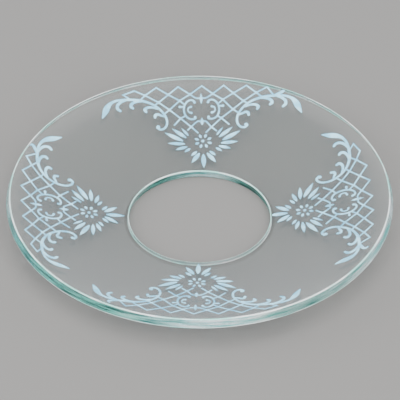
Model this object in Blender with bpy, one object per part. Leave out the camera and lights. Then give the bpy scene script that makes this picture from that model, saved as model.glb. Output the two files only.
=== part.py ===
"""A glass bobeche: a drip dish that lies round the foot of a candle.

One disc of sheet glass has its candle hole cut and its edges ground, then it is slumped onto a
sphere. Four garlands of lattice, scrolls, leaves and a daisy are etched into the upper face.
Every point is given by its place in plan and its depth under the upper face, and slump() gives
the dish its curve. Lengths are in metres, and +Z is up. The origin is the centre of the seat.
"""

import math

import bmesh
import bpy
import numpy as np
from mathutils import Vector
from mathutils.geometry import delaunay_2d_cdt

# The dish
OVERALL_RADIUS = 0.0508
HOLE_RADIUS = 0.0186
GLASS_THICKNESS = 0.0026
SLUMP_RADIUS = 0.148
ARRIS = 0.0003
SEAT_WIDTH = 0.0012

# The etching
ETCH_DEPTH = 0.0002
ETCH_TO_ARRIS = 0.0002
TIPS_TO_RIM = 0.0034
PETAL_TO_HOLE = 0.0003

# How finely the round shapes are divided
SIDES = 88
RING_SPACING = 0.0065
UNDER_SPACING = 0.01
CLEAR_OF_ETCHING = 0.0009
CURVE_STEPS = 2
DOT_SIDES = 7
SHARP_DEGREES = 20

# The garland's drawing, in millimetres as drawn and as seen from above: to the right, then
# outwards from the daisy's centre. The strokes and the petals of its right half are mirrored. A
# stroke's third number is its width there.
STEM = (
    (12.05, 4.5, 0.6), (11.2, 3.95, 0.65), (10.15, 4.35, 0.6), (9.45, 5.6, 0.6), (9.45, 7.4, 0.6),
    (10.15, 9.1, 0.6), (11.6, 10.9, 0.6), (13.6, 12.2, 0.65), (16.2, 12.95, 0.8), (19.2, 13.05, 0.8),
    (22.0, 12.7, 0.9), (24.2, 11.6, 1.5), (25.4, 9.95, 1.95), (26.3, 7.9, 1.3), (26.8, 6.3, 0.3),
)
STEM_EYE, STEM_EYE_RADIUS = (11.75, 4.8), 0.52
CURLS = (
    ((20.3, 12.75, 0.6), (21.6, 12.0, 0.75), (22.5, 10.9, 0.8), (22.6, 9.85, 0.85), (21.95, 9.35, 0.7)),
    ((16.0, 12.75, 0.5), (17.6, 12.45, 0.7), (18.7, 11.7, 0.8), (18.9, 10.85, 0.85), (18.4, 10.4, 0.7)),
    ((11.8, 10.6, 0.5), (13.0, 11.0, 0.65), (14.4, 10.9, 0.75), (15.2, 10.2, 0.85), (14.9, 9.5, 0.7)),
    ((9.8, 8.2, 0.5), (10.8, 8.5, 0.6), (11.7, 8.85, 0.7), (12.4, 8.6, 0.8), (12.55, 7.85, 0.7)),
)
SCROLL = (
    (1.8, 12.75, 0.7), (2.1, 13.3, 0.6), (2.9, 13.5, 0.55), (3.85, 12.95, 0.6), (4.6, 11.6, 0.6),
    (4.7, 9.9, 0.65), (4.2, 8.4, 0.6), (3.35, 7.6, 0.6), (2.45, 7.4, 0.6), (1.8, 7.65, 0.65),
    (1.8, 8.1, 0.7),
)
INNER_SCROLL = (
    (2.75, 11.4, 0.6), (3.45, 11.1, 0.5), (3.65, 10.4, 0.5), (3.4, 9.75, 0.5), (2.75, 9.45, 0.65),
)
BUD = ((4.7, 11.45, 0.45), (5.25, 11.4, 0.5), (5.8, 11.4, 0.75))
# The lattice is made of zigzags that meet at their corners, each drawn from left to right. The
# outermost ends in half a diamond on one side only.
BAR_WIDTH = 0.4
ZIGZAGS = (
    (
        (-19.2, 13.2), (-20.95, 14.3), (-17.9, 15.85), (-15.05, 14.65), (-12.0, 17.2), (-8.8, 15.15),
        (-6.1, 17.6), (-2.95, 15.3), (0.3, 17.8), (3.15, 15.3), (6.2, 17.65), (8.7, 15.1), (12.3, 17.1),
        (14.85, 14.6), (17.8, 15.9), (19.35, 13.3),
    ),
    (
        (-16.4, 13.1), (-15.05, 14.65), (-11.45, 12.65), (-8.8, 15.15), (-5.8, 13.35), (-2.95, 15.3),
        (-1.9, 14.4), (-1.2, 14.05), (1.2, 14.05), (1.9, 14.4), (3.15, 15.3), (5.8, 13.35), (8.7, 15.1),
        (11.3, 12.4), (14.85, 14.6), (16.4, 13.0),
    ),
    ((-12.6, 11.7), (-11.45, 12.65), (-8.6, 10.4), (-5.8, 13.35), (-4.6, 12.2)),
    ((4.6, 12.2), (5.8, 13.35), (8.4, 10.05), (11.3, 12.4), (12.5, 11.5)),
    ((-9.9, 9.2), (-8.6, 10.4), (-5.7, 7.7), (-4.4, 8.5)),
    ((4.2, 8.3), (5.2, 7.5), (8.4, 10.05), (9.7, 8.95)),
    (
        (-7.5, 5.4), (-5.7, 7.7), (-2.95, 4.95), (-1.8, 6.2), (-1.1, 6.75), (1.0, 6.7), (1.6, 6.0),
        (2.45, 4.7), (5.2, 7.5), (7.3, 5.2),
    ),
    ((-3.95, 3.8), (-2.95, 4.95), (-1.15, 2.85)),
    ((0.9, 2.95), (2.45, 4.7), (3.85, 3.35)),
)
END_LEAF = ((21.5, 13.0, 0.9), (21.9, 13.8, 0.7), (22.2, 14.45, 0.85))
# Petals run from their inner end to their tip and have a width.
PETALS = (
    ((3.75, 2.0), (5.55, 4.5), 0.65),
    ((4.4, 1.3), (8.1, 4.35), 1.05),
    ((5.25, 0.2), (10.1, 2.95), 1.2),
    ((4.8, -0.75), (9.35, -0.6), 1.05),
    ((4.2, -1.7), (7.35, -2.8), 0.95),
    ((3.4, -2.3), (5.0, -3.55), 0.75),
    ((1.7, -3.4), (3.3, -4.9), 0.8),
    ((1.0, -4.0), (3.25, -7.4), 1.15),
)
# These lie on the middle line, and so aren't mirrored.
MIDDLE_PETALS = (
    ((0.0, -4.4), (0.0, -9.3), 1.25),
    ((0.0, 12.4), (0.0, 15.6), 0.75),
    ((0.0, 5.5), (0.0, 7.9), 0.85),
)
DAISY_EYE, DAISY_EYE_RADIUS = (0.0, 0.12), 0.43
DAISY_CENTRE = (0.12, 0.1)
DAISY_PETALS = 8
DAISY_FIRST_ANGLE = 24.0
DAISY_INNER, DAISY_OUTER, DAISY_PETAL_WIDTH = 1.15, 2.4, 0.75

# The four garlands were laid by hand: the direction of each, how far it lies outwards and
# sideways of its true place, and how far it is turned, in degrees
PLACES = (
    (0.0, -0.00095, 0.0008, 2.8),
    (90.0, 0.00055, -0.0008, 2.0),
    (180.0, 0.0005, 0.0007, 3.3),
    (270.0, 0.0002, -0.00055, -2.0),
)

# The looks: colour, roughness and how much light goes through
CLEAR_GLASS = (0.93, 0.99, 0.97, 1.0), 0.02, 1.0
FROSTED_GLASS = (0.92, 0.97, 1.0, 1.0), 0.75, 0.35
GLASS_IOR = 1.52

# What follows from the sizes above
UNDER_RADIUS = SLUMP_RADIUS + GLASS_THICKNESS
HOLE_ANGLE = math.asin(HOLE_RADIUS / SLUMP_RADIUS)
RIM_ANGLE = math.asin(OVERALL_RADIUS / (UNDER_RADIUS - ARRIS))
HOLE_UNDER_RADIUS = UNDER_RADIUS * math.sin(HOLE_ANGLE)
SEAT_RADIUS = HOLE_UNDER_RADIUS + SEAT_WIDTH
CENTRE_HEIGHT = math.sqrt(UNDER_RADIUS**2 - SEAT_RADIUS**2)
FACE_INNER = SLUMP_RADIUS * math.sin(HOLE_ANGLE + ARRIS / SLUMP_RADIUS)
FACE_OUTER = SLUMP_RADIUS * math.sin(RIM_ANGLE - ARRIS / SLUMP_RADIUS)
ETCH_INNER = FACE_INNER + ETCH_TO_ARRIS
ETCH_OUTER = FACE_OUTER - ETCH_TO_ARRIS

DRAWN_TOP = max(y for _, y in ZIGZAGS[0])
DRAWN_BOTTOM = min(tip[1] for _, tip, _ in MIDDLE_PETALS)
BAND = (FACE_OUTER - TIPS_TO_RIM) - (FACE_INNER + PETAL_TO_HOLE)
DRAWN_SCALE = BAND / (DRAWN_TOP - DRAWN_BOTTOM)
DAISY_RADIUS = FACE_OUTER - TIPS_TO_RIM - DRAWN_TOP * DRAWN_SCALE

# The cut of a petal: how far along it is each pair of points, and how wide it is there
PETAL_CUT = ((0.25, 0.44), (0.62, 0.44))
PETAL_BLUNT = 0.12
# The rounded end of a stroke, as shares of half its width, and the least cosine a mitre is made for
CAP_LONG, CAP_WIDE = 0.75, 0.62
LEAST_MITRE = 0.5
# Points of the drawing nearer than this are one, and a point this near to a straight line is dropped
MERGE_DRAWN = 0.01
FLAT_DRAWN = 0.045


def slump(x, y, depth=0.0):
    """The place on the dish of a point of the plan, at a depth under the upper face."""
    radius = math.hypot(x, y)
    angle = math.asin(radius / SLUMP_RADIUS)
    reach = SLUMP_RADIUS + depth
    spread = reach / SLUMP_RADIUS
    return Vector((x * spread, y * spread, CENTRE_HEIGHT - reach * math.cos(angle)))


def on_section(angle, depth):
    """Radius and height of a point of the dish's cross-section."""
    reach = SLUMP_RADIUS + depth
    return reach * math.sin(angle), CENTRE_HEIGHT - reach * math.cos(angle)


def turned(points, degrees):
    """Points turned about the origin of the plan."""
    angle = math.radians(degrees)
    turning = np.array([[math.cos(angle), math.sin(angle)], [-math.sin(angle), math.cos(angle)]])
    return points @ turning


def circle(radius, sides):
    """Points of a circle in plan, anticlockwise."""
    angles = np.arange(sides) * 2 * math.pi / sides
    return np.stack([radius * np.cos(angles), radius * np.sin(angles)], axis=1)


def smooth_line(rows, steps):
    """A Catmull-Rom curve through rows of numbers, with this many steps in each stretch."""
    rows = np.array(rows, float)
    padded = np.vstack([2 * rows[0] - rows[1], rows, 2 * rows[-1] - rows[-2]])
    curve = []
    for start in range(len(rows) - 1):
        before, here, there, after = padded[start : start + 4]
        for t in np.arange(steps) / steps:
            linear = (there - before) * t
            square = (2 * before - 5 * here + 4 * there - after) * t**2
            cube = (3 * here - before - 3 * there + after) * t**3
            curve.append(here + 0.5 * (linear + square + cube))
    curve.append(rows[-1])
    return np.array(curve)


def band(line, widths):
    """The outline of a line of this width, with mitred bends."""
    line = np.array(line, float)
    ahead = np.diff(line, axis=0)
    ahead /= np.linalg.norm(ahead, axis=1, keepdims=True)
    normals = np.stack([-ahead[:, 1], ahead[:, 0]], axis=1)
    first, last = normals[:1], normals[-1:]
    mitres = np.vstack([first, normals[:-1] + normals[1:], last])
    mitres /= np.linalg.norm(mitres, axis=1, keepdims=True)
    stretch = 1 / np.clip((mitres * np.vstack([first, normals])).sum(axis=1), LEAST_MITRE, 1)
    offsets = mitres * (stretch * widths / 2)[:, None]
    return np.vstack([line - offsets, (line + offsets)[::-1]])


def stroke(rows, steps=CURVE_STEPS):
    """A curved stroke of changing width, with both ends rounded."""
    curve = smooth_line(rows, steps)
    outline = band(curve[:, :2], curve[:, 2])
    half = len(curve)
    caps = []
    for end, inner in ((half - 1, half - 2), (0, 1)):
        along = curve[end, :2] - curve[inner, :2]
        along /= np.linalg.norm(along)
        across = np.array([-along[1], along[0]])
        reach = curve[end, 2] / 2
        sides = (-CAP_WIDE, CAP_WIDE)
        caps.append([curve[end, :2] + reach * (along * CAP_LONG + across * side) for side in sides])
    return np.vstack([outline[:half], caps[0], outline[half:], caps[1]])


def petal(inner, tip, width):
    """A pointed petal with a blunt inner end."""
    inner, tip = np.array(inner, float), np.array(tip, float)
    along = tip - inner
    across = np.array([-along[1], along[0]]) / np.linalg.norm(along) * width
    right = [inner + along * place - across * share for place, share in PETAL_CUT]
    left = [inner + along * place + across * share for place, share in PETAL_CUT]
    blunt = [inner + across * PETAL_BLUNT, inner - across * PETAL_BLUNT]
    return np.array(blunt + right + [tip] + left[::-1])


def mirrored(outline):
    """The same outline on the other side of the middle line."""
    return outline[::-1] * np.array([-1, 1])


def daisy():
    """The eye and the small petals at the garland's foot."""
    outlines = [circle(DAISY_EYE_RADIUS, DOT_SIDES) + DAISY_EYE]
    for number in range(DAISY_PETALS):
        angle = math.radians(DAISY_FIRST_ANGLE + number * 360 / DAISY_PETALS)
        heading = np.array([math.cos(angle), math.sin(angle)])
        outlines.append(petal(heading * DAISY_OUTER, heading * DAISY_INNER, DAISY_PETAL_WIDTH) + DAISY_CENTRE)
    return outlines


def garland_outlines():
    """Every outline of one garland, in the drawing's millimetres. They overlap."""
    half = [stroke(STEM), stroke(SCROLL), stroke(INNER_SCROLL), stroke(BUD, 1)]
    half += [circle(STEM_EYE_RADIUS, DOT_SIDES) + STEM_EYE] + [stroke(curl) for curl in CURLS]
    half += [petal(*sizes) for sizes in PETALS]
    whole = daisy() + [petal(*sizes) for sizes in MIDDLE_PETALS] + [stroke(END_LEAF, 1)]
    whole += [band(zigzag, BAR_WIDTH) for zigzag in ZIGZAGS]
    return half + [mirrored(outline) for outline in half] + whole


def triangulated(points, edges, faces, merge):
    """Delaunay triangles of the points, which keep the edges and the faces' outlines."""
    found = delaunay_2d_cdt([Vector(point) for point in points], edges, faces, 0, merge)
    vertices, _, triangles, _, _, inside = found
    return np.array(vertices), [list(triangle) for triangle in triangles], inside


def border(triangles, chosen):
    """The edges between chosen triangles and the rest."""
    seen = {}
    for triangle, keep in zip(triangles, chosen):
        if not keep:
            continue
        for start, end in zip(triangle, triangle[1:] + triangle[:1]):
            if (end, start) in seen:
                del seen[end, start]
            else:
                seen[start, end] = True
    return list(seen)


def loops_of(edges):
    """Directed edges put together as closed loops."""
    following = {}
    for start, end in edges:
        following.setdefault(start, []).append(end)
    loops = []
    while following:
        loop = [next(iter(following))]
        while True:
            ends = following[loop[-1]]
            end = ends.pop()
            if not ends:
                del following[loop[-1]]
            if end == loop[0]:
                break
            loop.append(end)
        loops.append(loop)
    return loops


def without_flat_points(loop):
    """A loop of points without those that lie on the line between their neighbours."""
    kept = list(loop)
    place = 0
    while place < len(kept):
        before, here, after = kept[place - 1], kept[place], kept[(place + 1) % len(kept)]
        along = after - before
        away = abs(along[0] * (here - before)[1] - along[1] * (here - before)[0])
        if away < FLAT_DRAWN * np.linalg.norm(along):
            kept.pop(place)
        else:
            place += 1
    return np.array(kept)


def garland_loops():
    """The closed loops that bound the etching of one garland, its outlines made one."""
    points, faces = [], []
    for outline in garland_outlines():
        faces.append(list(range(len(points), len(points) + len(outline))))
        points.extend(outline)
    vertices, triangles, inside = triangulated(points, [], faces, MERGE_DRAWN)
    edges = border(triangles, [len(covering) > 0 for covering in inside])
    return [without_flat_points(vertices[loop]) for loop in loops_of(edges)]


def placed(loop, direction, outwards, sideways, turn):
    """A loop of the drawing at its place on the dish, in plan, kept clear of the ground edges."""
    out = turned(loop, turn - 90) * DRAWN_SCALE
    out += np.array([DAISY_RADIUS + outwards, sideways])
    radii = np.linalg.norm(out, axis=1)
    out *= (np.clip(radii, ETCH_INNER, ETCH_OUTER) / radii)[:, None]
    return turned(out, direction)


def distance_to_edges(points, starts, ends):
    """How far each point is from the nearest edge."""
    along = ends - starts
    nearest = np.full(len(points), np.inf)
    for start, line in zip(starts, along):
        share = np.clip((points - start) @ line / (line @ line), 0, 1)
        nearest = np.minimum(nearest, np.linalg.norm(points - start - share[:, None] * line, axis=1))
    return nearest


def odd_crossings(points, starts, ends):
    """Whether each point is inside the loops that these edges make."""
    inside = np.zeros(len(points), bool)
    for (x1, y1), (x2, y2) in zip(starts, ends):
        spans = (y1 > points[:, 1]) != (y2 > points[:, 1])
        if spans.any():
            crossing = x1 + (points[:, 1] - y1) * (x2 - x1) / (y2 - y1)
            inside ^= spans & (points[:, 0] < crossing)
    return inside


def ring_points():
    """Points that let the upper face follow its curve between the garlands."""
    rows = round((FACE_OUTER - FACE_INNER) / RING_SPACING)
    points = []
    for row in range(1, rows):
        radius = FACE_INNER + (FACE_OUTER - FACE_INNER) * row / rows
        sides = round(2 * math.pi * radius / RING_SPACING)
        points.append(turned(circle(radius, sides), 180 / sides * (row % 2)))
    return np.vstack(points)


def upper_face():
    """The upper face in plan: its points, its triangles, and which of them are etched."""
    loops = [placed(loop, *place) for place in PLACES for loop in garland_loops()]
    starts = np.vstack(loops)
    ends = np.vstack([np.roll(loop, -1, axis=0) for loop in loops])
    rings = ring_points()
    rings = rings[distance_to_edges(rings, starts, ends) > CLEAR_OF_ETCHING]

    points, edges = [], []
    circles = [circle(radius, SIDES) for radius in (FACE_INNER, FACE_OUTER)]
    for loop in circles + loops:
        first = len(points)
        edges += [(first + i, first + (i + 1) % len(loop)) for i in range(len(loop))]
        points.extend(loop)
    points.extend(rings)
    vertices, triangles, _ = triangulated(points, edges, [], MERGE_DRAWN * DRAWN_SCALE)
    middles = vertices[np.array(triangles)].mean(axis=1)
    solid = np.linalg.norm(middles, axis=1) > FACE_INNER * math.cos(math.pi / SIDES)
    etched = odd_crossings(middles, starts, ends)
    triangles = [triangle for triangle, keep in zip(triangles, solid) if keep]
    return vertices, triangles, etched[solid]


def ring_of(mesh, radius, height):
    """A ring of vertices round the axis."""
    return [mesh.verts.new((x, y, height)) for x, y in circle(radius, SIDES)]


def joined(mesh, inner, outer):
    """Quads between two rings. Seen from outside the glass, inner is on the left hand."""
    for i in range(SIDES):
        j = (i + 1) % SIDES
        mesh.faces.new((inner[i], outer[i], outer[j], inner[j]))


def add_upper_face(mesh):
    """The upper face with its etched recesses. Gives the rings of vertices at its two borders."""
    vertices, triangles, etched = upper_face()
    tops, floors = {}, {}

    def vertex(level, index, depth):
        if index not in level:
            level[index] = mesh.verts.new(slump(*vertices[index], depth))
        return level[index]

    for triangle, is_etched in zip(triangles, etched):
        if is_etched:
            face = mesh.faces.new([vertex(floors, index, ETCH_DEPTH) for index in triangle])
            face.material_index = 1
        else:
            mesh.faces.new([vertex(tops, index, 0.0) for index in triangle])
    for start, end in border(triangles, etched):
        wall = mesh.faces.new((tops[start], tops[end], floors[end], floors[start]))
        wall.material_index = 1

    def border_ring(radius):
        found = []
        for point in circle(radius, SIDES):
            index = np.linalg.norm(vertices - point, axis=1).argmin()
            found.append(tops[index])
        return found

    return border_ring(FACE_INNER), border_ring(FACE_OUTER)


def glass_dish():
    """The whole dish as one closed body."""
    mesh = bmesh.new()
    hole_top, rim_top = add_upper_face(mesh)
    wall_bottom = HOLE_UNDER_RADIUS - ARRIS * math.sin(HOLE_ANGLE)
    rings = [
        rim_top,
        ring_of(mesh, *on_section(RIM_ANGLE, ARRIS)),
        ring_of(mesh, *on_section(RIM_ANGLE, GLASS_THICKNESS - ARRIS)),
        ring_of(mesh, *on_section(RIM_ANGLE - ARRIS / UNDER_RADIUS, GLASS_THICKNESS)),
    ]
    seat_angle = math.asin(SEAT_RADIUS / UNDER_RADIUS)
    rows = round((OVERALL_RADIUS - SEAT_RADIUS) / UNDER_SPACING)
    for row in range(1, rows):
        angle = RIM_ANGLE + (seat_angle - RIM_ANGLE) * row / rows
        rings.append(ring_of(mesh, *on_section(angle, GLASS_THICKNESS)))
    rings += [
        ring_of(mesh, SEAT_RADIUS, 0.0),
        ring_of(mesh, HOLE_UNDER_RADIUS + ARRIS, 0.0),
        ring_of(mesh, wall_bottom, ARRIS),
        ring_of(mesh, *on_section(HOLE_ANGLE, ARRIS)),
        hole_top,
    ]
    for outer, inner in zip(rings, rings[1:]):
        joined(mesh, outer, inner)
    return mesh


def glass_material(name, colour, roughness, transmission):
    """A Principled glass."""
    material = bpy.data.materials.new(name)
    material.use_nodes = True
    shader = material.node_tree.nodes["Principled BSDF"]
    shader.inputs["Base Color"].default_value = colour
    shader.inputs["Roughness"].default_value = roughness
    shader.inputs["Transmission Weight"].default_value = transmission
    shader.inputs["Metallic"].default_value = 0.0
    shader.inputs["IOR"].default_value = GLASS_IOR
    return material


def main():
    for thing in list(bpy.data.objects):
        bpy.data.objects.remove(thing)
    mesh = glass_dish()
    data = bpy.data.meshes.new("glass_dish")
    mesh.to_mesh(data)
    mesh.free()
    data.shade_smooth()
    data.set_sharp_from_angle(angle=math.radians(SHARP_DEGREES))
    data.materials.append(glass_material("clear_glass", *CLEAR_GLASS))
    data.materials.append(glass_material("frosted_glass", *FROSTED_GLASS))
    dish = bpy.data.objects.new("glass_dish", data)
    bpy.context.scene.collection.objects.link(dish)


main()
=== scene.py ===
"""The looks of a glass bobeche: a slumped drip dish with four etched garlands.

The dish is made as a glass worker makes it. A flat blank is drawn with its hole, its ground edges
and its etching, a depth of glass under every point, and one Geometry Nodes tree then slumps the
blank onto a sphere. Lengths are in metres. The garland's drawing is in millimetres.
"""

import math

import bpy
import numpy as np
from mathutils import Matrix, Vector
from mathutils.geometry import delaunay_2d_cdt


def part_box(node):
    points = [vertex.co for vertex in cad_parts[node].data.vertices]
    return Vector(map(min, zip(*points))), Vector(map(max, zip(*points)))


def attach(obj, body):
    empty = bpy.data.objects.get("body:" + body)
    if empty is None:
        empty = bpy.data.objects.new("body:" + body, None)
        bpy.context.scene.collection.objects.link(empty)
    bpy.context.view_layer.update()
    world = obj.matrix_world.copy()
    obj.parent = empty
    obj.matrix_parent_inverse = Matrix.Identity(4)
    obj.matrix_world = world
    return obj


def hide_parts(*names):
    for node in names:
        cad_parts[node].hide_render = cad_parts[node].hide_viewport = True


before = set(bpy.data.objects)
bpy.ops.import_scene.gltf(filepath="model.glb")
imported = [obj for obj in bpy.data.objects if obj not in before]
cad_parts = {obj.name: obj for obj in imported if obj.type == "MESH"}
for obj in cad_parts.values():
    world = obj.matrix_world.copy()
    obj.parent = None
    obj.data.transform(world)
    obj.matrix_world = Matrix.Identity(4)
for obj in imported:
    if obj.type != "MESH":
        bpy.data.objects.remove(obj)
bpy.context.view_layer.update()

# The dish. Its overall radius is the frame's.
OVERALL_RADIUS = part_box("glass_dish")[1].x
HOLE_RADIUS = 0.0186
GLASS_THICKNESS = 0.0026
SLUMP_RADIUS = 0.148
ARRIS = 0.0003
SEAT_WIDTH = 0.0012

# The etching
ETCH_DEPTH = 0.0002
ETCH_TO_ARRIS = 0.0002
TIPS_TO_RIM = 0.0034
PETAL_TO_HOLE = 0.0003

# How finely the shapes are divided. Points for the curve of the upper face keep clear of the etching.
SIDES = 480
RING_SPACING = 0.0016
CLEAR_OF_ETCHING = 0.0005
CURVE_STEPS = 5
DOT_SIDES = 16
ARRIS_STEPS = 4
UNDER_ROWS = 14

# The garland's drawing, in millimetres as drawn and as seen from above: to the right, then
# outwards from the daisy's centre. The strokes and the petals of its right half are mirrored. A
# stroke's third number is its width there.
STEM = (
    (12.05, 4.5, 0.6), (11.2, 3.95, 0.65), (10.15, 4.35, 0.6), (9.45, 5.6, 0.6), (9.45, 7.4, 0.6),
    (10.15, 9.1, 0.6), (11.6, 10.9, 0.6), (13.6, 12.2, 0.65), (16.2, 12.95, 0.8), (19.2, 13.0, 0.75),
    (22.1, 12.55, 0.65), (24.1, 11.5, 0.8), (25.15, 10.1, 1.4), (25.65, 8.9, 1.6), (26.1, 7.7, 1.15),
    (26.65, 6.3, 0.3),
)
STEM_EYE, STEM_EYE_RADIUS = (11.75, 4.8), 0.52
CURLS = (
    ((20.3, 12.75, 0.6), (21.6, 12.0, 0.75), (22.5, 10.9, 0.8), (22.5, 9.8, 0.85), (21.8, 9.2, 0.7)),
    ((16.0, 12.75, 0.5), (17.6, 12.45, 0.7), (18.7, 11.7, 0.8), (18.9, 10.85, 0.85), (18.4, 10.4, 0.7)),
    ((11.8, 10.6, 0.5), (13.0, 11.0, 0.65), (14.4, 10.9, 0.75), (15.2, 10.2, 0.85), (14.9, 9.5, 0.7)),
    ((9.8, 8.2, 0.5), (10.8, 8.5, 0.6), (11.7, 8.85, 0.7), (12.4, 8.6, 0.8), (12.55, 7.85, 0.7)),
)
SCROLL = (
    (1.8, 12.75, 0.7), (2.1, 13.3, 0.55), (2.9, 13.5, 0.5), (3.85, 12.95, 0.5), (4.6, 11.6, 0.5),
    (4.7, 9.9, 0.5), (4.2, 8.4, 0.5), (3.35, 7.6, 0.5), (2.45, 7.4, 0.55), (1.8, 7.65, 0.6),
    (1.8, 8.1, 0.7),
)
INNER_SCROLL = (
    (2.75, 11.4, 0.6), (3.45, 11.1, 0.4), (3.65, 10.4, 0.35), (3.4, 9.75, 0.4), (2.75, 9.45, 0.7),
)
BUD = ((4.7, 11.45, 0.45), (5.25, 11.4, 0.5), (5.8, 11.4, 0.75))
# The lattice is made of zigzags that meet at their corners, each drawn from left to right. The
# outermost ends in half a diamond on one side only.
BAR_WIDTH = 0.4
ZIGZAGS = (
    (
        (-19.2, 13.2), (-20.95, 14.3), (-17.9, 15.85), (-15.05, 14.65), (-12.0, 17.2), (-8.8, 15.15),
        (-6.1, 17.6), (-2.95, 15.3), (0.3, 17.8), (3.15, 15.3), (6.2, 17.65), (8.7, 15.1), (12.3, 17.1),
        (14.85, 14.6), (17.8, 15.9), (19.35, 13.3),
    ),
    (
        (-16.4, 13.1), (-15.05, 14.65), (-11.45, 12.65), (-8.8, 15.15), (-5.8, 13.35), (-2.95, 15.3),
        (-1.9, 14.4), (-1.2, 14.05), (1.2, 14.05), (1.9, 14.4), (3.15, 15.3), (5.8, 13.35), (8.7, 15.1),
        (11.3, 12.4), (14.85, 14.6), (16.4, 13.0),
    ),
    ((-12.6, 11.7), (-11.45, 12.65), (-8.6, 10.4), (-5.8, 13.35), (-4.6, 12.2)),
    ((4.6, 12.2), (5.8, 13.35), (8.4, 10.05), (11.3, 12.4), (12.5, 11.5)),
    ((-9.9, 9.2), (-8.6, 10.4), (-5.7, 7.7), (-4.4, 8.5)),
    ((4.2, 8.3), (5.2, 7.5), (8.4, 10.05), (9.7, 8.95)),
    (
        (-7.5, 5.4), (-5.7, 7.7), (-2.95, 4.95), (-1.8, 6.2), (-1.1, 6.75), (1.0, 6.7), (1.6, 6.0),
        (2.45, 4.7), (5.2, 7.5), (7.3, 5.2),
    ),
    ((-3.95, 3.8), (-2.95, 4.95), (-1.15, 2.85)),
    ((0.9, 2.95), (2.45, 4.7), (3.85, 3.35)),
)
# Where two zigzags meet, and where the middle petals cross one, the etching has run together.
KNOT_RADIUS = 0.42
CROSSED_RADIUS = 0.48
CROSSED = ((0.0, 14.05), (0.0, 6.72))
END_LEAF = (
    (19.2, 12.95, 0.5), (20.6, 13.35, 0.8), (21.7, 13.75, 0.85), (22.25, 14.15, 0.75), (22.2, 14.7, 0.6),
    (22.0, 15.0, 0.5),
)
# Petals run from their inner end to their tip and have a width.
PETALS = (
    ((3.75, 2.0), (5.55, 4.5), 0.65),
    ((4.4, 1.3), (8.1, 4.35), 1.05),
    ((5.25, 0.2), (10.1, 2.95), 1.2),
    ((4.8, -0.75), (9.35, -0.6), 1.05),
    ((4.2, -1.7), (7.35, -2.8), 0.95),
    ((3.4, -2.3), (5.0, -3.55), 0.75),
    ((1.7, -3.4), (3.3, -4.9), 0.8),
    ((1.0, -4.0), (3.25, -7.4), 1.15),
)
# These lie on the middle line, and so aren't mirrored.
MIDDLE_PETALS = (
    ((0.0, -4.4), (0.0, -9.3), 1.25),
    ((0.0, 12.4), (0.0, 15.6), 0.75),
    ((0.0, 5.5), (0.0, 7.9), 0.85),
)
DAISY_CENTRE = (0.12, 0.1)
DAISY_EYE, DAISY_EYE_RADIUS = (0.0, 0.12), 0.43
DAISY_PETALS = 8
DAISY_FIRST_ANGLE = 24.0
DAISY_INNER, DAISY_OUTER, DAISY_PETAL_WIDTH = 1.15, 2.4, 0.75

# The four garlands were laid by hand: the direction of each in degrees, how far it lies outwards
# and sideways of its true place, and how many degrees it is turned
PLACES = (
    (0.0, -0.00095, 0.0008, 2.8),
    (90.0, 0.00055, -0.0008, 2.0),
    (180.0, 0.0005, 0.0007, 3.3),
    (270.0, 0.0002, -0.00055, -2.0),
)
# From the direction of zero degrees to the drawing's outwards
QUARTER_TURN = 90.0

# The cut of a petal: how far along it is, as a share of its length, and how far out its side lies
# there, as a share of its width
PETAL_CUT = ((0.0, 0.1), (0.1, 0.27), (0.28, 0.46), (0.5, 0.5), (0.72, 0.36), (0.88, 0.16), (1.0, 0.0))
PETAL_STEPS = 2
# The rounded end of a stroke, as angles from its heading, and the least cosine a mitre is made for
CAP_ANGLES = (-54, -18, 18, 54)
LEAST_MITRE = 0.5
# Points of the drawing nearer than this are one, and a point this near to a straight line is dropped
MERGE_DRAWN = 0.01
FLAT_DRAWN = 0.004

# The finishes. A pair of colours or of values belongs to the two ends of a pattern. A pattern has its
# lumps to the metre and its detail, and where it is drawn out level, its lumps to the metre in height.
# Clearness is the share of the light that goes through. The noise keeps mostly within its range.
GLASS_IOR = 1.52
NOISE_RANGE = (0.38, 0.62)
CLEAR_TINT = (0.975, 1.0, 0.99, 1.0)
CLEAR_ROUGHNESS = 0.01
FULL_CLEARNESS = 1.0
WAVES, WAVE_DEPTH = (60.0, 2.0), 0.00004
ETCHED_SHADES = ((0.24, 0.62, 0.82), (0.48, 0.85, 1.0))
ETCHED_ROUGHNESS = (0.62, 0.82)
ETCHED_CLEARNESS = 0.15
MOTTLING = (450.0, 4.0)
GRAIN, GRAIN_DEPTH = (9000.0, 2.0), 0.00002
DEEP_GREENS = ((0.0, 0.05, 0.04), (0.15, 0.62, 0.52))
PALE_GREENS = ((0.08, 0.46, 0.4), (0.97, 1.0, 1.0))
GROUND_ROUGHNESS = (0.4, 0.12)
GROUND_CLEARNESS = 0.6
STREAKS, STREAK_DEPTH = (120.0, 5.0, 2200.0), 0.0002
GREEN_PATCHES = (30.0, 2.0)
# Painted light: how much paler the ground edges are painted beside the garlands than between them
PAINTED_LIGHT_BESIDE_GARLANDS = 0.13
# Painted highlight: the arrises' white is a painted glint, spread by the same noise as their wear
ARRIS_GREEN_AND_PAINTED_GLINT = ((0.35, 0.78, 0.7), (1.0, 1.0, 1.0))
ARRIS_ROUGHNESS = (0.3, 0.08)
ARRIS_CLEARNESS = 0.3
WEAR_AND_PAINTED_GLINTS, WEAR_DEPTH = (150.0, 4.0, 900.0), 0.00005

# The studio. Each softbox has its name, its place, its width and height, and its watts.
FLOOR_PAINT = (0.165, 0.158, 0.15, 1.0)
FLOOR_ROUGHNESS = 0.9
FLOOR_REACH = 3.0
AIR_COLOUR = (0.9, 0.95, 1.0, 1.0)
AIR_STRENGTH = 1.3
SOFTBOXES = (
    ("top_softbox", (0.0, -1.1, 2.2), (2.8, 3.0), 120.0),
    ("front_softbox", (0.5, -1.5, 0.9), (1.8, 1.1), 24.0),
    ("left_softbox", (-1.5, -0.2, 0.8), (1.2, 1.0), 13.0),
)

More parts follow.
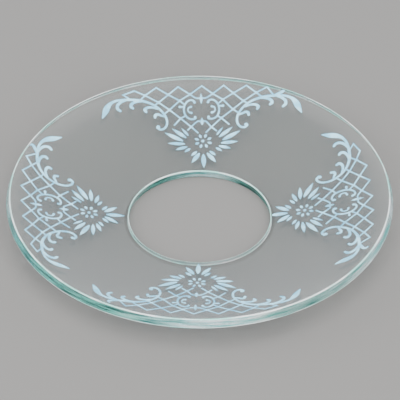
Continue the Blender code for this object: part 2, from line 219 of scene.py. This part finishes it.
# The camera, as the photograph was taken, and where the hole's centre falls in it: in degrees,
# metres and the picture's pixels, with the sensor's width in millimetres
CAMERA_ELEVATION = 40.0
CAMERA_DISTANCE = 1.394
CAMERA_ROLL = 0.14
CAMERA_REACH = 20.0
FOCAL_PIXELS = 5290.0
PICTURE_SIDE = 400.0
SENSOR = 36.0
HOLE_IN_PICTURE = (199.7, 216.0)

# What follows from the sizes above
UNDER_RADIUS = SLUMP_RADIUS + GLASS_THICKNESS
HOLE_ANGLE = math.asin(HOLE_RADIUS / SLUMP_RADIUS)
RIM_ANGLE = math.asin(OVERALL_RADIUS / (UNDER_RADIUS - ARRIS))
HOLE_UNDER_RADIUS = UNDER_RADIUS * math.sin(HOLE_ANGLE)
SEAT_RADIUS = HOLE_UNDER_RADIUS + SEAT_WIDTH
CENTRE_HEIGHT = math.sqrt(UNDER_RADIUS**2 - SEAT_RADIUS**2)
HOLE_PLANE = CENTRE_HEIGHT - SLUMP_RADIUS * math.cos(HOLE_ANGLE)
FACE_INNER = SLUMP_RADIUS * math.sin(HOLE_ANGLE + ARRIS / SLUMP_RADIUS)
FACE_OUTER = SLUMP_RADIUS * math.sin(RIM_ANGLE - ARRIS / SLUMP_RADIUS)
ETCH_INNER = FACE_INNER + ETCH_TO_ARRIS
ETCH_OUTER = FACE_OUTER - ETCH_TO_ARRIS

DRAWN_TOP = max(y for _, y in ZIGZAGS[0])
DRAWN_BOTTOM = min(tip[1] for _, tip, _ in MIDDLE_PETALS)
ETCHED_BAND = (FACE_OUTER - TIPS_TO_RIM) - (FACE_INNER + PETAL_TO_HOLE)
DRAWN_SCALE = ETCHED_BAND / (DRAWN_TOP - DRAWN_BOTTOM)
DAISY_RADIUS = FACE_OUTER - TIPS_TO_RIM - DRAWN_TOP * DRAWN_SCALE

# What each face of the blank is, in the order of the finishes
UPPER, UNDER, ETCHED, ETCHED_WALL, GROUND, ARRISED = range(6)


def turned(points, degrees):
    """Points turned about the origin of the plan."""
    angle = math.radians(degrees)
    matrix = np.array([[math.cos(angle), math.sin(angle)], [-math.sin(angle), math.cos(angle)]])
    return points @ matrix


def circle(radius, sides):
    """Points of a circle in plan, anticlockwise."""
    angles = np.arange(sides) * 2 * math.pi / sides
    return np.stack([radius * np.cos(angles), radius * np.sin(angles)], axis=1)


def smooth_line(rows, steps):
    """A Catmull-Rom curve through rows of numbers, with this many steps in each stretch."""
    rows = np.array(rows, float)
    padded = np.vstack([2 * rows[0] - rows[1], rows, 2 * rows[-1] - rows[-2]])
    curve = []
    for start in range(len(rows) - 1):
        before, here, there, after = padded[start : start + 4]
        for t in np.arange(steps) / steps:
            linear = (there - before) * t
            square = (2 * before - 5 * here + 4 * there - after) * t**2
            cube = (3 * here - before - 3 * there + after) * t**3
            curve.append(here + 0.5 * (linear + square + cube))
    curve.append(rows[-1])
    return np.array(curve)


def band(line, widths):
    """The outline of a line of this width, with mitred bends."""
    line = np.array(line, float)
    ahead = np.diff(line, axis=0)
    ahead /= np.linalg.norm(ahead, axis=1, keepdims=True)
    normals = np.stack([-ahead[:, 1], ahead[:, 0]], axis=1)
    first, last = normals[:1], normals[-1:]
    mitres = np.vstack([first, normals[:-1] + normals[1:], last])
    mitres /= np.linalg.norm(mitres, axis=1, keepdims=True)
    cosines = (mitres * np.vstack([first, normals])).sum(axis=1)
    offsets = mitres * (widths / 2 / np.clip(cosines, LEAST_MITRE, 1))[:, None]
    return np.vstack([line - offsets, (line + offsets)[::-1]])


def stroke(rows):
    """A curved stroke of changing width, with both ends rounded."""
    curve = smooth_line(rows, CURVE_STEPS)
    outline = band(curve[:, :2], curve[:, 2])
    half = len(curve)
    caps = []
    for end, inner in ((half - 1, half - 2), (0, 1)):
        along = curve[end, :2] - curve[inner, :2]
        along /= np.linalg.norm(along)
        across = np.array([-along[1], along[0]])
        reach = curve[end, 2] / 2
        angles = [math.radians(angle) for angle in CAP_ANGLES]
        headings = [along * math.cos(angle) + across * math.sin(angle) for angle in angles]
        caps.append([curve[end, :2] + reach * heading for heading in headings])
    return np.vstack([outline[:half], caps[0], outline[half:], caps[1]])


def petal(inner, tip, width):
    """A pointed petal with a blunt inner end."""
    inner, tip = np.array(inner, float), np.array(tip, float)
    along = tip - inner
    across = np.array([-along[1], along[0]]) / np.linalg.norm(along) * width
    cut = smooth_line(PETAL_CUT, PETAL_STEPS)
    right = [inner + along * place - across * share for place, share in cut]
    left = [inner + along * place + across * share for place, share in cut[:-1]]
    return np.array(right + left[::-1])


def mirrored(outline):
    """The same outline on the other side of the middle line."""
    return outline[::-1] * np.array([-1, 1])


def plain_mesh(name, points, edges=(), faces=()):
    """A mesh object from points in plan, which isn't a piece of the dish by itself."""
    data = bpy.data.meshes.new(name)
    data.from_pydata([(x, y, 0.0) for x, y in points], edges, faces)
    made = bpy.data.objects.new(name, data)
    bpy.context.scene.collection.objects.link(made)
    return made


def of_kind(sockets, kind):
    """The sockets of one kind, on a node that has several of the same name."""
    return [socket for socket in sockets if socket.type == kind]


class Nodes:
    """A node tree under construction."""

    def __init__(self, tree):
        self.tree = tree

    def link(self, source, node, name):
        self.tree.links.new(source, node.inputs[name])

    def node(self, kind, *links, **settings):
        """A node, with each link going to its next input. None skips one, and a plain value sets it."""
        made = self.tree.nodes.new(kind)
        for name, value in settings.items():
            setattr(made, name, value)
        for socket, source in zip(made.inputs, links):
            if isinstance(source, bpy.types.NodeSocket):
                self.tree.links.new(source, socket)
            elif source is not None:
                socket.default_value = source
        return made

    def math(self, operation, *links):
        """One step of arithmetic."""
        return self.node("ShaderNodeMath", *links, operation=operation).outputs[0]


class GeometryTree(Nodes):
    """A Geometry Nodes tree with named inputs, each with its kind and value."""

    def __init__(self, name, inputs):
        super().__init__(bpy.data.node_groups.new(name, "GeometryNodeTree"))
        face = self.tree.interface
        face.new_socket("Geometry", in_out="INPUT", socket_type="NodeSocketGeometry")
        face.new_socket("Geometry", in_out="OUTPUT", socket_type="NodeSocketGeometry")
        self.values = {}
        for label, (kind, value) in inputs.items():
            socket = face.new_socket(label, in_out="INPUT", socket_type="NodeSocket" + kind)
            self.values[socket.identifier] = value
        self.inputs = self.node("NodeGroupInput").outputs

    def attribute(self, name, kind="FLOAT"):
        """An attribute of the geometry, by its name."""
        found = self.node("GeometryNodeInputNamedAttribute", data_type=kind)
        found.inputs["Name"].default_value = name
        return found.outputs["Attribute"]

    def copies(self, points, shape, turn, scale=None):
        """Copies of an object's geometry at points, turned about Z and, if need be, scaled."""
        placed = self.node("GeometryNodeInstanceOnPoints", points)
        self.link(self.node("GeometryNodeObjectInfo", shape).outputs["Geometry"], placed, "Instance")
        self.link(self.node("ShaderNodeCombineXYZ", None, None, turn).outputs[0], placed, "Rotation")
        if scale:
            self.link(scale, placed, "Scale")
        return placed.outputs[0]

    def result(self, geometry):
        """Sends the geometry out of the tree, all its instances made real."""
        real = self.node("GeometryNodeRealizeInstances", geometry)
        self.node("NodeGroupOutput", real.outputs[0])

    def made_from(self, carrier):
        """The plain mesh that this tree makes from an object, which is then removed."""
        modifier = carrier.modifiers.new(self.tree.name, "NODES")
        modifier.node_group = self.tree
        for identifier, value in self.values.items():
            modifier[identifier] = value
        evaluated = carrier.evaluated_get(bpy.context.evaluated_depsgraph_get())
        data = bpy.data.meshes.new_from_object(evaluated)
        bpy.data.objects.remove(carrier)
        return data


def ring_of_petals():
    """The small petals round a daisy's eye: one petal, copied round a ring."""
    one = petal((DAISY_OUTER, 0.0), (DAISY_INNER, 0.0), DAISY_PETAL_WIDTH)
    shape = plain_mesh("daisy_petal", one, faces=[range(len(one))])
    sizes = {
        "Petal": ("Object", shape),
        "Count": ("Int", DAISY_PETALS),
        "First angle": ("Float", math.radians(DAISY_FIRST_ANGLE)),
    }
    tree = GeometryTree("ring_of_petals", sizes)
    _, petal_shape, count, first_angle = tree.inputs[:4]
    share = tree.math("DIVIDE", tree.node("GeometryNodeInputIndex").outputs[0], count)
    angle = tree.math("ADD", tree.math("MULTIPLY", share, 2 * math.pi), first_angle)
    points = tree.node("GeometryNodePoints", count).outputs[0]
    tree.result(tree.copies(points, petal_shape, angle))
    data = tree.made_from(plain_mesh("daisy", []))
    bpy.data.objects.remove(shape)
    places = np.array([vertex.co.xy for vertex in data.vertices]) + DAISY_CENTRE
    return [places[list(face.vertices)] for face in data.polygons]


def garland_outlines():
    """Every outline of one garland, in the drawing's millimetres. They overlap."""
    half = [stroke(STEM), stroke(SCROLL), stroke(INNER_SCROLL), stroke(BUD)]
    half += [circle(STEM_EYE_RADIUS, DOT_SIDES) + STEM_EYE] + [stroke(curl) for curl in CURLS]
    half += [petal(*sizes) for sizes in PETALS]
    whole = [circle(DAISY_EYE_RADIUS, DOT_SIDES) + DAISY_EYE] + ring_of_petals()
    whole += [petal(*sizes) for sizes in MIDDLE_PETALS] + [stroke(END_LEAF)]
    whole += [band(zigzag, BAR_WIDTH) for zigzag in ZIGZAGS]
    corners = [corner for zigzag in ZIGZAGS for corner in zigzag]
    shared = [corner for corner in sorted(set(corners)) if corners.count(corner) > 1]
    whole += [circle(KNOT_RADIUS, DOT_SIDES) + corner for corner in shared]
    whole += [circle(CROSSED_RADIUS, DOT_SIDES) + place for place in CROSSED]
    return half + [mirrored(outline) for outline in half] + whole


def triangulated(points, edges, faces, merge):
    """Delaunay triangles of the points, which keep the edges and the faces' outlines."""
    out_to_hull = 0
    found = delaunay_2d_cdt([Vector(point) for point in points], edges, faces, out_to_hull, merge)
    vertices, _, triangles, _, _, inside = found
    return np.array(vertices), [list(triangle) for triangle in triangles], inside


def border(triangles, chosen):
    """The edges between chosen triangles and the rest."""
    seen = {}
    for triangle, keep in zip(triangles, chosen):
        if not keep:
            continue
        for start, end in zip(triangle, triangle[1:] + triangle[:1]):
            if (end, start) in seen:
                del seen[end, start]
            else:
                seen[start, end] = True
    return list(seen)


def loops_of(edges):
    """Directed edges put together as closed loops."""
    following = {}
    for start, end in edges:
        following.setdefault(start, []).append(end)
    loops = []
    while following:
        loop = [next(iter(following))]
        while True:
            ends = following[loop[-1]]
            end = ends.pop()
            if not ends:
                del following[loop[-1]]
            if end == loop[0]:
                break
            loop.append(end)
        loops.append(loop)
    return loops


def without_flat_points(loop):
    """A loop of points without those that lie on the line between their neighbours."""
    kept = list(loop)
    place = 0
    while place < len(kept):
        before, here, after = kept[place - 1], kept[place], kept[(place + 1) % len(kept)]
        along = after - before
        away = abs(along[0] * (here - before)[1] - along[1] * (here - before)[0])
        if away < FLAT_DRAWN * np.linalg.norm(along):
            kept.pop(place)
        else:
            place += 1
    return np.array(kept)


def garland_border():
    """The border of one garland's etching, as an object of closed loops of edges."""
    points, faces = [], []
    for outline in garland_outlines():
        faces.append(list(range(len(points), len(points) + len(outline))))
        points.extend(outline)
    vertices, triangles, inside = triangulated(points, [], faces, MERGE_DRAWN)
    found = loops_of(border(triangles, [len(covering) > 0 for covering in inside]))
    points, edges = [], []
    for loop in found:
        kept = without_flat_points(vertices[loop])
        first = len(points)
        edges += [(first + i, first + (i + 1) % len(kept)) for i in range(len(kept))]
        points.extend(kept)
    return plain_mesh("garland_border", points, edges)


def four_garlands():
    """Points and edges of the garlands at their places on the blank, kept clear of the ground edges."""
    middles = [turned(np.array([DAISY_RADIUS + out, side]), angle) for angle, out, side, _ in PLACES]
    places = plain_mesh("garland_places", middles)
    turns = [math.radians(angle + turn - QUARTER_TURN) for angle, _, _, turn in PLACES]
    places.data.attributes.new("turn", "FLOAT", "POINT").data.foreach_set("value", turns)
    shape = garland_border()
    sizes = {"Garland": ("Object", shape), "Drawing scale": ("Float", DRAWN_SCALE)}
    tree = GeometryTree("garlands_round_the_hole", sizes)
    centres, garland, scale = tree.inputs[:3]
    tree.result(tree.copies(centres, garland, tree.attribute("turn"), scale))
    data = tree.made_from(places)
    bpy.data.objects.remove(shape)
    points = np.array([vertex.co.xy for vertex in data.vertices])
    radii = np.linalg.norm(points, axis=1)
    points *= (np.clip(radii, ETCH_INNER, ETCH_OUTER) / radii)[:, None]
    return points, [tuple(edge.vertices) for edge in data.edges]


def distance_to_edges(points, starts, ends):
    """How far each point is from the nearest edge."""
    nearest = np.full(len(points), np.inf)
    for start, line in zip(starts, ends - starts):
        share = np.clip((points - start) @ line / (line @ line), 0, 1)
        nearest = np.minimum(nearest, np.linalg.norm(points - start - share[:, None] * line, axis=1))
    return nearest


def odd_crossings(points, starts, ends):
    """Whether each point is inside the loops that these edges make."""
    inside = np.zeros(len(points), bool)
    for (x1, y1), (x2, y2) in zip(starts, ends):
        spans = (y1 > points[:, 1]) != (y2 > points[:, 1])
        if spans.any():
            crossing = x1 + (points[:, 1] - y1) * (x2 - x1) / (y2 - y1)
            inside ^= spans & (points[:, 0] < crossing)
    return inside


def ring_points():
    """Points that let the upper face follow its curve between the garlands."""
    rows = round((FACE_OUTER - FACE_INNER) / RING_SPACING)
    points = []
    for row in range(1, rows):
        radius = FACE_INNER + (FACE_OUTER - FACE_INNER) * row / rows
        sides = round(2 * math.pi * radius / RING_SPACING)
        points.append(turned(circle(radius, sides), 180 / sides * (row % 2)))
    return np.vstack(points)


class Blank:
    """The flat blank: points in plan with their depth in the glass, and faces with their kind."""

    def __init__(self):
        self.points, self.faces, self.kinds = [], [], []

    def add_points(self, plan, depth):
        first = len(self.points)
        self.points += [(x, y, -depth) for x, y in plan]
        return list(range(first, first + len(plan)))

    def add_face(self, corners, kind):
        self.faces.append(corners)
        self.kinds.append(kind)

    def add_upper_face(self):
        """The upper face with its etched recesses. Gives the numbers of the points at its two borders."""
        etch_points, etch_edges = four_garlands()
        starts, ends = (etch_points[[edge[side] for edge in etch_edges]] for side in (0, 1))
        rings = ring_points()
        rings = rings[distance_to_edges(rings, starts, ends) > CLEAR_OF_ETCHING]
        plan, edges = list(etch_points), list(etch_edges)
        for radius in (FACE_INNER, FACE_OUTER):
            first = len(plan)
            edges += [(first + i, first + (i + 1) % SIDES) for i in range(SIDES)]
            plan.extend(circle(radius, SIDES))
        plan.extend(rings)
        plan, triangles, _ = triangulated(plan, edges, [], MERGE_DRAWN * DRAWN_SCALE)
        middles = plan[np.array(triangles)].mean(axis=1)
        solid = np.linalg.norm(middles, axis=1) > FACE_INNER * math.cos(math.pi / SIDES)
        triangles = [triangle for triangle, keep in zip(triangles, solid) if keep]
        etched = odd_crossings(middles[solid], starts, ends)
        tops = self.add_points(plan, 0.0)
        floors = self.add_points(plan, ETCH_DEPTH)
        for triangle, is_etched in zip(triangles, etched):
            level = floors if is_etched else tops
            self.add_face([level[i] for i in triangle], ETCHED if is_etched else UPPER)
        for start, end in border(triangles, etched):
            self.add_face([tops[start], tops[end], floors[end], floors[start]], ETCHED_WALL)
        return [
            [tops[np.linalg.norm(plan - point, axis=1).argmin()] for point in circle(radius, SIDES)]
            for radius in (FACE_INNER, FACE_OUTER)
        ]

    def add_strip(self, outer, inner, kind):
        """Quads between two rings of points."""
        for i in range(SIDES):
            j = (i + 1) % SIDES
            self.add_face([outer[i], inner[i], inner[j], outer[j]], kind)


def section_below():
    """The dish's section from the rim's upper arris, round under the glass, to the hole's upper
    arris: each point as its angle at the sphere's centre and its depth, with the kind of the face
    that leads to it."""
    bends = [math.pi / 2 * step / ARRIS_STEPS for step in range(1, ARRIS_STEPS + 1)]
    upper, under = ARRIS / SLUMP_RADIUS, ARRIS / UNDER_RADIUS
    rows = []
    for bend in bends:
        rows.append((RIM_ANGLE - upper * (1 - math.sin(bend)), ARRIS * (1 - math.cos(bend)), ARRISED))
    rows.append((RIM_ANGLE, GLASS_THICKNESS - ARRIS, GROUND))
    for bend in bends:
        depth = GLASS_THICKNESS - ARRIS * (1 - math.sin(bend))
        rows.append((RIM_ANGLE - under * (1 - math.cos(bend)), depth, ARRISED))
    first, last = rows[-1][0], math.asin(SEAT_RADIUS / UNDER_RADIUS)
    for row in range(1, UNDER_ROWS + 1):
        rows.append((first + (last - first) * row / UNDER_ROWS, GLASS_THICKNESS, UNDER))
    lower_arris = (
        (HOLE_UNDER_RADIUS + ARRIS, 0.0, GROUND),
        (HOLE_UNDER_RADIUS - ARRIS * math.sin(HOLE_ANGLE), ARRIS, ARRISED),
    )
    for radius, height, kind in lower_arris:
        fall = CENTRE_HEIGHT - height
        rows.append((math.atan2(radius, fall), math.hypot(radius, fall) - SLUMP_RADIUS, kind))
    rows.append((HOLE_ANGLE, ARRIS, GROUND))
    for bend in bends[:-1]:
        rows.append((HOLE_ANGLE + upper * (1 - math.cos(bend)), ARRIS * (1 - math.sin(bend)), ARRISED))
    return rows


def blank():
    """The whole flat blank, cut, ground and etched."""
    made = Blank()
    hole_ring, ring = made.add_upper_face()
    for angle, depth, kind in section_below():
        plan = circle(SLUMP_RADIUS * math.sin(angle), SIDES)
        below = made.add_points(plan, depth)
        made.add_strip(ring, below, kind)
        ring = below
    made.add_strip(ring, hole_ring, ARRISED)
    return made


def slumping(finishes):
    """The tree that lowers the flat blank onto a sphere and gives each kind of face its finish."""
    sizes = {"Slump radius": ("Float", SLUMP_RADIUS), "Centre height": ("Float", CENTRE_HEIGHT)}
    tree = GeometryTree("slumping", sizes)
    geometry, radius, centre_height = tree.inputs[:3]
    place = tree.node("ShaderNodeSeparateXYZ", tree.node("GeometryNodeInputPosition").outputs[0]).outputs
    squares = [tree.math("MULTIPLY", place[i], place[i]) for i in (0, 1)]
    sine = tree.math("DIVIDE", tree.math("SQRT", tree.math("ADD", *squares)), radius)
    cosine = tree.math("SQRT", tree.math("SUBTRACT", 1.0, tree.math("MULTIPLY", sine, sine)))
    reach = tree.math("SUBTRACT", radius, place[2])
    spread = tree.math("DIVIDE", reach, radius)
    height = tree.math("SUBTRACT", centre_height, tree.math("MULTIPLY", reach, cosine))
    across = [tree.math("MULTIPLY", place[i], spread) for i in (0, 1)]
    slumped = tree.node("GeometryNodeSetPosition", geometry)
    tree.link(tree.node("ShaderNodeCombineXYZ", *across, height).outputs[0], slumped, "Position")
    geometry = slumped.outputs[0]
    kind = tree.attribute("kind", "INT")
    for wanted, material in enumerate(finishes):
        chosen = tree.node("FunctionNodeCompare", data_type="INT", operation="EQUAL")
        asked, compared = of_kind(chosen.inputs, "INT")
        tree.tree.links.new(kind, asked)
        compared.default_value = wanted
        painted = tree.node("GeometryNodeSetMaterial", geometry, chosen.outputs[0])
        painted.inputs["Material"].default_value = material
        geometry = painted.outputs[0]
    tree.result(geometry)
    return tree


def exact_normals(data):
    """The normals that smooth glass has: a sphere's on its two faces, and straight across each ground
    band. The etched walls keep their own."""
    corners = np.array([loop.vertex_index for loop in data.loops])
    places = np.array([vertex.co for vertex in data.vertices])[corners]
    kinds = np.zeros(len(data.polygons), np.int32)
    data.attributes["kind"].data.foreach_get("value", kinds)
    sizes = [face.loop_total for face in data.polygons]
    flat = np.repeat(np.array([face.normal for face in data.polygons]), sizes, axis=0)
    middles = np.repeat(np.array([face.center for face in data.polygons]), sizes, axis=0)
    kinds = np.repeat(kinds, sizes)
    to_centre = np.array([0.0, 0.0, CENTRE_HEIGHT]) - places
    to_centre /= np.linalg.norm(to_centre, axis=1, keepdims=True)
    outwards = middles[:, :2] / np.linalg.norm(middles[:, :2], axis=1, keepdims=True)
    lean = (flat[:, :2] * outwards).sum(axis=1)
    round_axis = places[:, :2] / np.linalg.norm(places[:, :2], axis=1, keepdims=True) * lean[:, None]
    normals = flat.copy()
    faces_up = (kinds == UPPER) | (kinds == ETCHED)
    normals[faces_up] = to_centre[faces_up]
    normals[kinds == UNDER] = -to_centre[kinds == UNDER]
    ground = (kinds == GROUND) | (kinds == ARRISED)
    normals[ground, :2] = round_axis[ground]
    data.shade_smooth()
    data.normals_split_custom_set(normals.tolist())


class Finish(Nodes):
    """A finish of the dish's glass under construction, with even values set on the shader itself."""

    def __init__(self, name, **values):
        material = bpy.data.materials.new(name)
        material.use_nodes = True
        super().__init__(material.node_tree)
        self.material = material
        self.shader = self.tree.nodes["Principled BSDF"]
        self.shader.inputs["IOR"].default_value = GLASS_IOR
        for label, value in values.items():
            self.shader.inputs[label.replace("_", " ")].default_value = value
        self.place = self.node("ShaderNodeTexCoord").outputs["Object"]

    def give(self, name, source):
        """Links a value, a colour or a relief to the shader."""
        self.link(source, self.shader, name)

    def noise(self, level, detail, upright=None):
        """Noise on the glass, from 0 to 1, with so many lumps to the metre in plan and in height."""
        scale = (level, level, upright or level)
        places = self.node("ShaderNodeVectorMath", self.place, scale, operation="MULTIPLY")
        made = self.node("ShaderNodeTexNoise", places.outputs[0])
        made.inputs["Scale"].default_value = 1.0
        made.inputs["Detail"].default_value = detail
        return made.outputs["Fac"]

    def spread(self, value, low=0.0, high=1.0):
        """A value from the middle of the noise's range, spread between two others."""
        return self.node("ShaderNodeMapRange", value, *NOISE_RANGE, low, high).outputs[0]

    def colours(self, value, dark, light):
        """A colour between two, by a value. Each of the two may be such a blend itself."""
        made = self.node("ShaderNodeMix", data_type="RGBA")
        self.link(value, made, "Factor")
        for socket, colour in zip(of_kind(made.inputs, "RGBA"), (dark, light)):
            if isinstance(colour, tuple):
                socket.default_value = (*colour, 1.0)
            else:
                self.tree.links.new(colour, socket)
        return of_kind(made.outputs, "RGBA")[0]

    def bump(self, height, depth):
        """Relief of this depth."""
        made = self.node("ShaderNodeBump")
        made.inputs["Distance"].default_value = depth
        self.link(height, made, "Height")
        return made.outputs[0]

    def painted_light_mask(self, most):
        """A value that is highest beside the four garlands and as far below zero between them: the mask of
        the light painted onto the ground edges.
        """
        x, y, _ = self.node("ShaderNodeSeparateXYZ", self.place).outputs
        four_times = self.math("MULTIPLY", self.math("ARCTAN2", y, x), float(len(PLACES)))
        return self.math("MULTIPLY", self.math("COSINE", four_times), most)


def clear_glass():
    """Fire-polished sheet glass, very slightly wavy from its slumping."""
    made = Finish(
        "clear_glass", Base_Color=CLEAR_TINT, Roughness=CLEAR_ROUGHNESS, Transmission_Weight=FULL_CLEARNESS
    )
    made.give("Normal", made.bump(made.noise(*WAVES), WAVE_DEPTH))
    return made.material


def frosted_glass():
    """Acid-etched glass: a pale bluish white, with a fine even grain and a little mottling."""
    made = Finish("frosted_glass", Transmission_Weight=ETCHED_CLEARNESS)
    mottling = made.noise(*MOTTLING)
    made.give("Base Color", made.colours(made.spread(mottling), *ETCHED_SHADES))
    made.give("Roughness", made.spread(mottling, *ETCHED_ROUGHNESS))
    made.give("Normal", made.bump(made.noise(*GRAIN), GRAIN_DEPTH))
    return made.material


def ground_glass():
    """The ground edges: satin and scratched lengthwise. They are green with the depth of glass behind
    them, and painted paler beside the etching: painted light for the light it scatters into them."""
    made = Finish("ground_glass", Transmission_Weight=GROUND_CLEARNESS)
    streaks = made.noise(*STREAKS)
    deep, pale = (made.colours(made.spread(streaks), *greens) for greens in (DEEP_GREENS, PALE_GREENS))
    # Random green patches, plus painted light that makes the edges paler beside the garlands
    patches_and_painted_light = made.math("ADD", made.noise(*GREEN_PATCHES), made.painted_light_mask(PAINTED_LIGHT_BESIDE_GARLANDS))
    made.give("Base Color", made.colours(made.spread(patches_and_painted_light), deep, pale))
    made.give("Roughness", made.spread(streaks, *GROUND_ROUGHNESS))
    made.give("Normal", made.bump(streaks, STREAK_DEPTH))
    return made.material


def arrised_glass():
    """The narrow bevels along the ground edges, which are nearly polished. Their colour runs from green to
    white, and the white is a painted glint spread along their wear.
    """
    made = Finish("arrised_glass", Transmission_Weight=ARRIS_CLEARNESS)
    wear_and_painted_glints = made.noise(*WEAR_AND_PAINTED_GLINTS)
    # The white end of the arrises' colour is a painted glint
    made.give("Base Color", made.colours(made.spread(wear_and_painted_glints), *ARRIS_GREEN_AND_PAINTED_GLINT))
    made.give("Roughness", made.spread(wear_and_painted_glints, *ARRIS_ROUGHNESS))
    made.give("Normal", made.bump(wear_and_painted_glints, WEAR_DEPTH))
    return made.material


def glass_dish():
    """The finished dish as one closed mesh."""
    clear, frosted = clear_glass(), frosted_glass()
    finishes = (clear, clear, frosted, frosted, ground_glass(), arrised_glass())
    made = blank()
    used = sorted({corner for face in made.faces for corner in face})
    number = {old: new for new, old in enumerate(used)}
    data = bpy.data.meshes.new("blank")
    faces = [[number[i] for i in face] for face in made.faces]
    data.from_pydata([made.points[i] for i in used], [], faces)
    kinds = data.attributes.new("kind", "INT", "FACE")
    kinds.data.foreach_set("value", made.kinds)
    carrier = bpy.data.objects.new("blank", data)
    bpy.context.scene.collection.objects.link(carrier)
    data = slumping(finishes).made_from(carrier)
    exact_normals(data)
    dish = bpy.data.objects.new("etched_glass_dish", data)
    bpy.context.scene.collection.objects.link(dish)
    return dish


def softbox(name, place, size, watts):
    """A rectangular studio light that faces the dish."""
    lamp = bpy.data.lights.new(name, "AREA")
    lamp.shape = "RECTANGLE"
    lamp.size, lamp.size_y = size
    lamp.energy = watts
    holder = bpy.data.objects.new(name, lamp)
    holder.location = place
    holder.rotation_euler = (-Vector(place)).to_track_quat("-Z", "Y").to_euler()
    bpy.context.scene.collection.objects.link(holder)


def studio():
    """A pale floor, soft lights and an even surrounding light."""
    corners = FLOOR_REACH * np.array([(-1, -1), (1, -1), (1, 1), (-1, 1)])
    floor = plain_mesh("floor", corners, faces=[(0, 1, 2, 3)])
    paint = bpy.data.materials.new("floor_paint")
    paint.use_nodes = True
    shader = paint.node_tree.nodes["Principled BSDF"]
    shader.inputs["Base Color"].default_value = FLOOR_PAINT
    shader.inputs["Roughness"].default_value = FLOOR_ROUGHNESS
    floor.data.materials.append(paint)
    world = bpy.data.worlds.new("studio_air")
    world.use_nodes = True
    air = world.node_tree.nodes["Background"]
    air.inputs["Color"].default_value = AIR_COLOUR
    air.inputs["Strength"].default_value = AIR_STRENGTH
    bpy.context.scene.world = world
    for sizes in SOFTBOXES:
        softbox(*sizes)


def camera():
    """The camera, aimed so that the hole's centre falls where the photograph has it."""
    angle = math.radians(CAMERA_ELEVATION)
    right, up = Vector((1, 0, 0)), Vector((0, math.sin(angle), math.cos(angle)))
    back = Vector((0, -math.cos(angle), math.sin(angle)))
    hole = Vector((0, 0, HOLE_PLANE))
    metres = CAMERA_DISTANCE / FOCAL_PIXELS
    off = [(PICTURE_SIDE / 2 - place) * metres for place in HOLE_IN_PICTURE]
    place = hole + back * CAMERA_DISTANCE
    aim = hole + right * off[0] - up * off[1]
    lens = bpy.data.cameras.new("camera")
    lens.sensor_width = SENSOR
    lens.lens = FOCAL_PIXELS / PICTURE_SIDE * SENSOR
    lens.clip_end = CAMERA_REACH
    holder = bpy.data.objects.new("camera", lens)
    holder.location = place
    holder.rotation_euler = (aim - place).to_track_quat("-Z", "Y").to_euler()
    holder.rotation_euler.rotate_axis("Z", math.radians(CAMERA_ROLL))
    bpy.context.scene.collection.objects.link(holder)
    bpy.context.scene.camera = holder


dish = glass_dish()
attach(dish, "root")
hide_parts("glass_dish")
studio()
camera()
